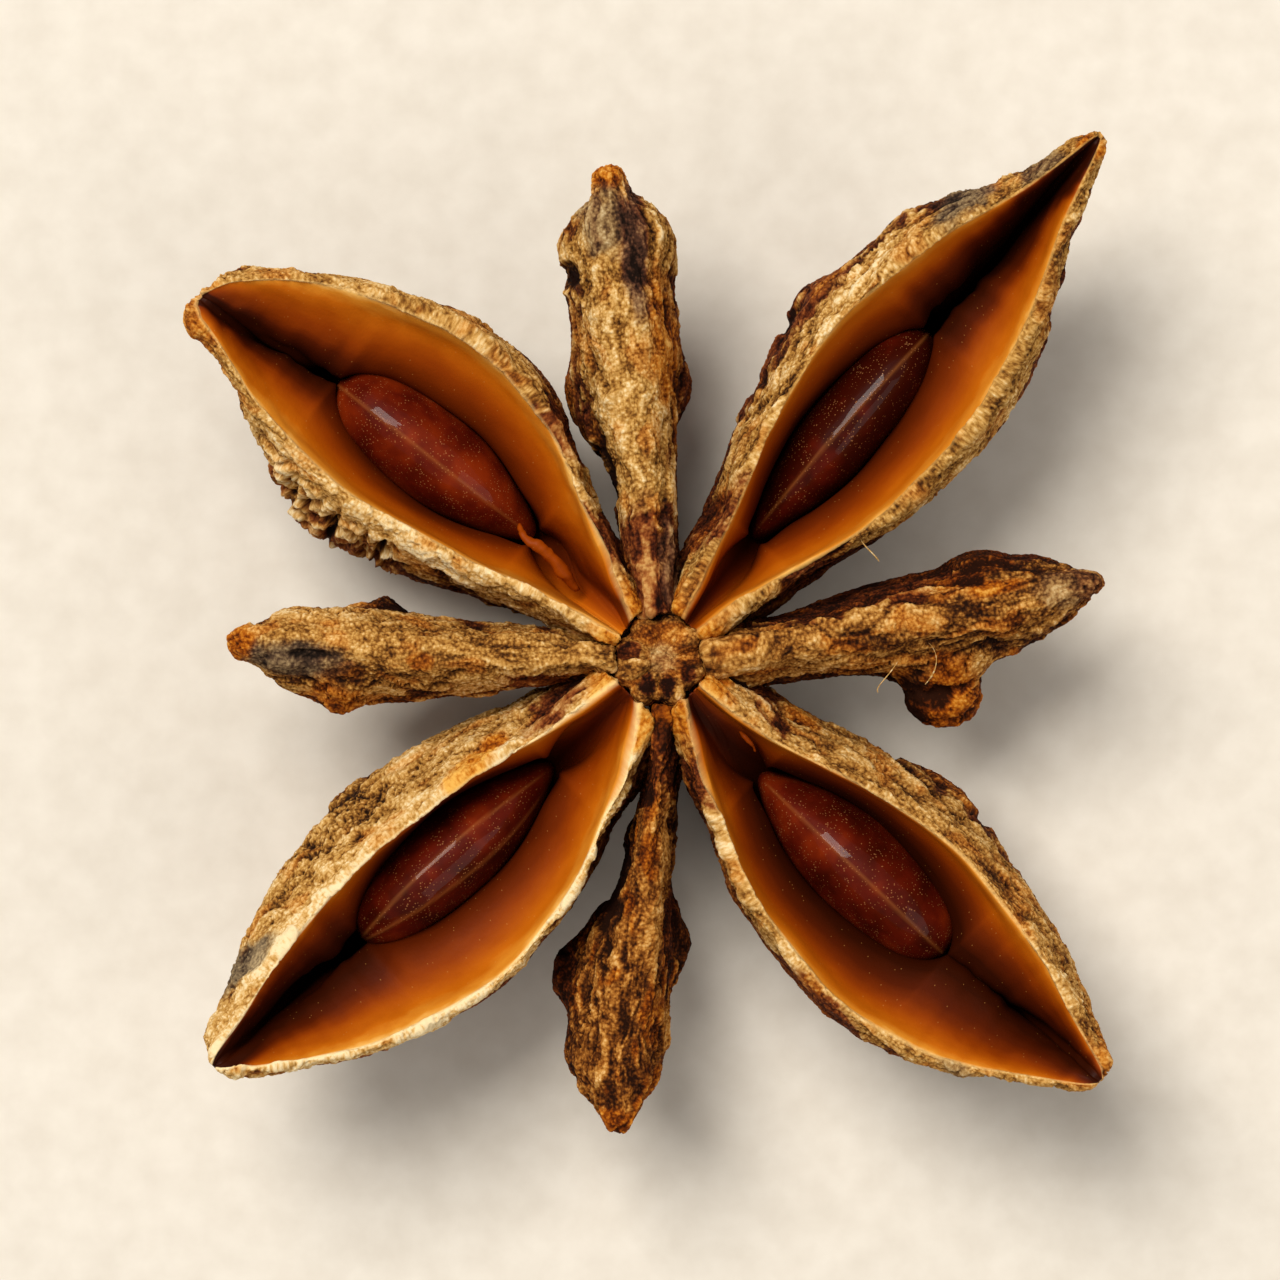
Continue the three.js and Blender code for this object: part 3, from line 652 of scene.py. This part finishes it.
SHUT = {
    "n": {
        "azimuth": 96, "seed": 43, "pale": 0.04, "warm": 0.0, "knobs": [], "band": (2.0, 2.0),
        "pleats": [],
        "marks": {
            "skin": [(3.0, 0.0, 3.2, 1.6, 1.0), (12.2, -0.5, 4.4, 0.9, 0.8)],
            "cork": [(8.0, -0.1, 7.0, 1.1, 0.7)],
            "fibre": [(3.2, 0.0, 3.6, 1.8, 0.9), (11.5, -0.2, 6.0, 2.4, 0.8)],
            "cream": [(2.8, 0.05, 2.4, 0.3, 0.7), (14.5, 0.1, 0.5, 0.4, 0.9)],
            "grey": [(2.8, -0.5, 2.6, 0.5, 0.5), (11.9, -0.5, 4.2, 0.8, 0.6),
                     (13.0, 0.2, 2.0, 1.6, 0.7)],
            "rust": [(9.4, -1.05, 4.4, 0.9, 0.9), (14.4, 0.0, 0.8, 1.2, 1.0),
                     (8.0, 2.1, 1.8, 0.6, 0.7)],
            "hollow": [(5.2, 1.05, 3.4, 0.5, 0.8), (11.6, 1.5, 0.8, 0.5, 0.8)]
        }},
    "e": {
        "azimuth": 10.2, "seed": 53, "pale": -0.12, "warm": 0.25, "knobs": [(8.15, -2.45, 1.1)],
        "band": (1.0, 1.8), "pleats": [],
        "marks": {
            "shade": [(7.2, -2.6, 0.8, 1.8, 0.9), (10.6, 1.2, 3.0, 1.2, 0.35)],
            "cream": [(8.3, -3.0, 1.8, 1.6, 0.25), (8.5, 0.55, 1.4, 0.2, 0.9)],
            "skin": [(6.0, 0.8, 7.0, 1.1, 1.0), (11.2, 1.3, 1.6, 0.8, 1.0)],
            "rust": [(10.0, 1.2, 2.0, 0.9, 0.8), (10.2, 0.35, 2.0, 0.5, 1.0), (8.6, 0.7, 0.7, 0.5, 0.8),
                     (13.1, -0.4, 1.0, 0.8, 0.9), (8.2, -2.7, 2.6, 2.8, 1.0),
                     (10.4, -1.7, 0.8, 0.4, 0.9)],
            "cork": [(7.0, -0.7, 9.0, 0.7, 0.6)],
            "grey": [(12.2, 0.0, 2.0, 1.0, 0.5)],
            "hollow": [(8.0, -2.5, 0.7, 0.6, 0.8)],
            "fibre": [(8.5, -0.2, 8.0, 2.2, 0.9)]
        }},
    "s": {
        "azimuth": -95.1, "seed": 61, "pale": -0.17, "warm": 0.45, "knobs": [], "band": (1.6, 1.6),
        "pleats": [],
        "marks": {
            "rust": [(1.9, 0.0, 0.7, 1.4, 1.0), (13.6, 0.0, 0.9, 1.0, 1.0)],
            "skin": [(3.3, 0.2, 2.8, 1.2, 1.0), (8.6, 0.95, 4.0, 0.5, 0.8), (9.5, -2.2, 2.4, 0.8, 0.9)],
            "cork": [(6.6, 0.45, 5.0, 0.9, 0.9), (10.6, 0.0, 5.0, 3.2, 0.7)],
            "hollow": [(6.2, -0.8, 5.0, 0.7, 0.8)],
            "cream": [(6.4, 0.4, 6.0, 0.7, 0.6)],
            "fibre": [(10.6, -0.2, 5.0, 3.0, 1.0)]
        }},
    "w": {
        "azimuth": 178, "seed": 71, "pale": -0.02, "warm": 0.1, "knobs": [], "band": (2.2, 2.2),
        "pleats": [],
        "marks": {
            "skin": [(3.0, 0.7, 3.0, 0.7, 0.9)],
            "rust": [(9.9, 1.7, 2.8, 1.3, 0.9), (12.4, 0.0, 0.9, 1.2, 1.0), (7.1, 0.3, 0.8, 0.5, 0.8)],
            "grey": [(10.7, 0.35, 2.8, 1.1, 0.9)],
            "hollow": [(10.2, 0.2, 1.6, 0.3, 0.6), (7.6, -1.4, 2.0, 0.5, 0.7)],
            "cork": [(5.5, 0.0, 5.0, 1.2, 0.7)]
        }},
}


def rounded(local, knobs):
    """Draws the lump on a husk's side out into a round knob."""
    for s, t, radius in knobs:
        lump = (np.hypot(local[:, 0] - s, local[:, 1] - t) < radius) & (local[:, 1] < t + 0.5 * radius)
        away = local - (s, t, local[lump, 2].mean())
        reach = np.maximum(np.linalg.norm(away, axis=1), 0.05)
        pull = (1 - step(t - 0.2, t + 0.8, local[:, 1])) * (1 - step(1.6 * radius, 2.2 * radius, reach))
        local = local + away * ((radius / reach - 1) * pull)[:, None]
    return local


for place, rules in SHUT.items():
    node = "follicle_" + place
    bm = quads_of(node)
    sharpen_root(bm, rules["azimuth"])
    piece = smoothed(bm, "husk_" + place, SMOOTHING + 1)
    mesh = piece.data
    places, normals = coordinates(mesh)
    local = turned(places, rules["azimuth"])
    depth = seam_height(local) - local[:, 2]
    relief, tone, tints = husk_relief(local, depth, local[:, 1] > 0, rules)
    shaped = rounded(local, rules["knobs"]) + turned(normals, rules["azimuth"]) * relief[:, None]
    shaped[:, 1] *= root_width(local)
    shaped[:, 0] -= root_pull(local)
    move(mesh, turned(shaped, -rules["azimuth"]))
    write(mesh, local=local, sunk=0, tone=tone, tints=tints, lining=0)
    finish(piece, corky_husk, node)

# ---------------------------------------------------------------------------------------------
# Seeds: one in each open follicle, standing on edge. A hard, thin, polished seed coat over a
# flattened egg, dark red-brown, with a fine pale line along its upper edge and husk dust on it.

# the pale lines of each seed: distance to the left of its middle at each end, and bow, mm
SEED_LINES = {
    "ne": [(0.1, -0.1, 0.1)], "nw": [(0.1, 0.1, 0.0)], "sw": [(0.5, 0.1, 0.45), (0.1, 0.0, -0.3)],
    "se": [(-0.1, -0.1, 0.0)]}
# painted light and shade: how much paler than the others each seed's coat is painted
SEED_LIGHTING = {"ne": -0.16, "nw": 0.10, "sw": -0.02, "se": 0.0}
CLOUDING = 1.4                   # mm, sizes of what the seed's material draws: soft clouding,
DUST_GAP = 0.095                 # gaps between specks of dust,
DUST_PATCH = 0.5                 # patches where they lie thicker
PORE = 0.17                      # and pores


def seed_material():
    """Seed coat: as glossy as lacquer, because its outer cells are a clear hard layer."""
    material, tree, output = new_material("polished_seed_coat")
    local = add(tree, "Attribute", attribute_name="local").outputs["Vector"]
    line = add(tree, "Attribute", attribute_name="line").outputs["Fac"]
    tone = add(tree, "Attribute", attribute_name="tone").outputs["Fac"]
    shade = add(tree, "TexNoise", {"Vector": local, "Scale": 1 / CLOUDING, "Detail": 3.0}).outputs["Fac"]
    # painted light and shade: each seed's own offset shifts its coat along the ramp
    shade = add(tree, "Math", {0: shade, 1: tone}).outputs[0]
    coat = add(tree, "ValToRGB", {"Fac": shade}, stops=[
        (0.30, "#320700"), (0.50, "#541103"), (0.70, "#782405")])
    dust = add(tree, "TexVoronoi", {"Vector": local, "Scale": 1 / DUST_GAP}).outputs["Distance"]
    spread = add(tree, "TexNoise", {"Vector": local, "Scale": 1 / DUST_PATCH,
                                    "Detail": 2.0}).outputs["Fac"]
    size = add(tree, "MapRange", {"Value": spread, "From Min": 0.35, "From Max": 0.75,
                                  "To Min": 0.10, "To Max": 0.30}).outputs[0]
    speck = add(tree, "Math", {0: dust, 1: size}, operation="LESS_THAN").outputs[0]
    pale = add(tree, "Math", {0: speck, 1: 0.35}, operation="MULTIPLY").outputs[0]
    dusty = add(tree, "Mix", {0: pale, 6: coat.outputs[0], 7: from_hex("#C08450")}, data_type="RGBA")
    lined = add(tree, "Math", {0: line, 1: 0.28}, operation="MULTIPLY").outputs[0]
    colour = add(tree, "Mix", {0: lined, 6: dusty.outputs[2], 7: from_hex("#A8652E")}, data_type="RGBA")
    pores = add(tree, "TexNoise", {"Vector": local, "Scale": 1 / PORE, "Detail": 2.0})
    bump = add(tree, "Bump", {"Height": pores.outputs["Fac"], "Strength": 0.25, "Distance": 0.03 * MM})
    surface = add(tree, "BsdfPrincipled", {
        "Base Color": colour.outputs[2], "Roughness": 0.5, "Specular IOR Level": 0.05,
        "Coat Weight": 0.6, "Coat IOR": 1.25, "Coat Roughness": 0.05, "Normal": bump.outputs[0]})
    tree.links.new(surface.outputs[0], output.inputs["Surface"])
    return material


polished_seed_coat = seed_material()

for place, seams in SEED_LINES.items():
    node = "seed_" + place
    bm = quads_of(node)
    plain = np.array([v.co for v in bm.verts]) / MM
    piece = smoothed(bm, node + "_shell", SMOOTHING)
    mesh = piece.data
    places, normals = coordinates(mesh)
    full = turned(plain, OPEN[place]["azimuth"])
    local = turned(places, OPEN[place]["azimuth"])
    middle = (local.max(axis=0) + local.min(axis=0)) / 2
    # smoothing has shrunk it, so it is drawn out to its full size again
    local = (local - middle) * np.ptp(full, axis=0) / np.ptp(local, axis=0)
    line = np.zeros(len(local))
    for start, end, bow in seams:
        k = (local[:, 0] / local[:, 0].max() + 1) / 2
        course = start + (end - start) * k + bow * np.sin(math.pi * k)
        line = np.maximum(line, lines(local[:, 1] - course, 0.05))
    line *= step(0.3, 1.0, local[:, 2])
    inner_end = np.clip(-local[:, 0] / local[:, 0].max(), 0, 1)
    local[:, 1] *= 1 - SEED_TAPER * inner_end ** 2
    uneven = 0.05 * clouds(local, 1.8, OPEN[place]["seed"], 2) + 0.02 * line
    shaped = local + middle + turned(normals, OPEN[place]["azimuth"]) * uneven[:, None]
    move(mesh, turned(shaped, -OPEN[place]["azimuth"]))
    write(mesh, local=local, line=line, tone=SEED_LIGHTING[place])
    finish(piece, polished_seed_coat, node)

# ---------------------------------------------------------------------------------------------
# Column: the short corky stem that the follicles grow from, seen end on between their roots,
# with a ridge running out to each gap and a small hollow before each root. Below its top it
# swells out, where the roots are grown to it.

ROOT_SWELLING = 1.3              # mm that the stem stands out between the roots, under its top

STEM = {
    "seed": 83, "pale": -0.16, "warm": 0.2, "band": (1.0, 1.0), "pleats": [],
    "marks": {
        "grey": [(0.0, 0.0, 1.0, 0.9, 0.4)],
        "cream": [(0.0, 0.0, 1.1, 0.8, 1.0), (0.8, 0.05, 0.9, 0.2, 1.0), (0.55, -0.85, 0.25, 0.9, 1.0),
                  (-0.05, -0.8, 0.2, 0.8, 0.8), (-0.5, -0.05, 0.8, 0.25, 0.9),
                  (0.55, 0.75, 0.5, 0.5, 0.7)],
        "bump": [(0.8, 0.05, 1.1, 0.3, 0.12), (0.55, -0.85, 0.35, 1.0, 0.12),
                 (-0.05, -0.8, 0.3, 1.0, 0.1), (-0.5, -0.05, 0.9, 0.3, 0.08),
                 (0.75, -0.4, 0.6, 0.5, -0.3), (0.25, -0.75, 0.35, 0.8, -0.25),
                 (-0.4, -0.7, 0.4, 0.8, -0.25), (-0.9, 0.25, 0.7, 0.4, -0.25),
                 (-0.85, 0.85, 0.5, 0.5, -0.3)],
        "skin": [(0.75, -0.4, 0.6, 0.5, 1.0), (0.25, -0.75, 0.4, 0.8, 1.0), (-0.4, -0.7, 0.4, 0.8, 0.9),
                 (-0.9, 0.25, 0.7, 0.5, 1.0)],
        "shade": [(0.75, -0.4, 0.5, 0.4, 0.35), (0.25, -0.8, 0.3, 0.7, 0.3),
                  (-0.4, -0.8, 0.3, 0.7, 0.2), (-0.9, 0.25, 0.6, 0.4, 0.3)],
        "rust": [(0.1, 0.75, 1.7, 0.8, 0.8)]
    }
}

piece = smoothed(quads_of("column"), "stem", SMOOTHING)
mesh = piece.data
places, normals = coordinates(mesh)
depth = places[:, 2].max() - places[:, 2]
radius = np.hypot(places[:, 0], places[:, 1])
turn = np.degrees(np.arctan2(places[:, 1], places[:, 0]))
roots = [rules["azimuth"] for rules in (*OPEN.values(), *SHUT.values())]
aside = np.min([np.abs((turn - root + 180) % 360 - 180) for root in roots], axis=0)
swell = ROOT_SWELLING * step(13, 18, aside) * step(0.4, 1.2, depth) * (1 - step(5.0, 6.8, depth))
relief, tone, tints = husk_relief(places, depth, places[:, 1] > 0, STEM)
tints[:, 1] = np.maximum(tints[:, 1], step(0.4, 0.9, depth))
# painted shade: darker below the top, where the stem swells out between the roots, but not at its foot
tone -= 0.5 * step(0.3, 1.0, depth) * (1 - step(5.6, 6.8, depth))
places += normals * (0.6 * relief)[:, None]
places[:, :2] *= (1 + swell * step(0.6, 1.2, radius) / np.maximum(radius, 0.5))[:, None]
move(mesh, places)
write(mesh, local=places, sunk=0, tone=tone, tints=tints, lining=0)
finish(piece, corky_husk, "column")

# ---------------------------------------------------------------------------------------------
# Seed stalks and torn fibres: the dried stalks that the seeds hung from, curled up in the root
# end of two of the cavities, and a few hairs of husk standing off the husks' sides. Thin swept strands.

STRAND_SUNK = 0.34               # how dark the amber of a stalk is
STRAND_TONE = 0.75               # and how pale a hair is

# each strand: husk, slot, radius (mm), share of amber lining in its colour, and its course as
# distance from the axis, distance to the left, and height
STRANDS = {
    "stalk_nw": ("nw", "open_husk", 0.19, 1.0, [
        (5.75, -0.6, 7.0), (5.45, -0.3, 7.3), (5.0, -0.45, 7.3), (4.4, -0.4, 7.2), (3.8, -0.25, 7.0),
        (3.2, -0.1, 6.6)]),
    "stalk_se": ("se", "open_husk", 0.1, 1.0, [
        (3.9, 0.0, 6.5), (3.7, 0.15, 6.8), (3.4, 0.05, 6.9), (3.2, 0.1, 6.7)]),
    "hair_e_long": ("e", "shut_husk", 0.03, 0.0, [
        (7.9, -0.9, 7.5), (8.2, -1.3, 7.9), (8.0, -1.8, 7.7), (7.6, -2.1, 7.2)]),
    "hair_e_short": ("e", "shut_husk", 0.025, 0.0, [
        (7.0, -1.2, 7.1), (6.6, -1.7, 7.4), (6.1, -1.9, 7.0), (6.2, -2.1, 6.8)]),
    "hair_ne": ("ne", "open_husk", 0.035, 0.0, [
        (6.6, -2.1, 7.6), (6.4, -2.5, 7.7), (6.5, -2.8, 7.4), (6.4, -3.1, 7.2)]),
}

for name, (place, slot, radius, amber, course) in STRANDS.items():
    curve = bpy.data.curves.new(name, "CURVE")
    curve.dimensions = "3D"
    curve.bevel_depth = radius * MM
    curve.bevel_resolution = 3
    curve.resolution_u = 10
    curve.use_fill_caps = True
    spline = curve.splines.new("NURBS")
    spline.points.add(len(course) - 1)
    spline.use_endpoint_u = True
    azimuth = {**OPEN, **SHUT}[place]["azimuth"]
    for point, spot in zip(spline.points, turned(np.array(course), -azimuth)):
        point.co = (*(spot * MM), 1.0)
        point.radius = 1.0
    spline.points[0].radius = 0.25
    spline.points[1].radius = 0.5
    spline.points[-1].radius = 0.5
    swept = bpy.data.objects.new(name, curve)
    scene.collection.objects.link(swept)
    mesh = final_mesh(swept)
    bpy.data.objects.remove(swept)
    bm = bmesh.new()
    bm.from_mesh(mesh)
    bmesh.ops.remove_doubles(bm, verts=bm.verts, dist=1e-7)
    bmesh.ops.recalc_face_normals(bm, faces=bm.faces)
    bm.to_mesh(mesh)
    bm.free()
    mesh.name = name
    piece = bpy.data.objects.new(name, mesh)
    scene.collection.objects.link(piece)
    places, normals = coordinates(mesh)
    local = turned(places, azimuth)
    creased = 0.35 * radius * clouds(local, 0.3, 97, 3)
    move(mesh, places + normals * creased[:, None])
    write(mesh, local=local, sunk=STRAND_SUNK, tone=STRAND_TONE, tints=0 * local, lining=amber)
    finish(piece, corky_husk)
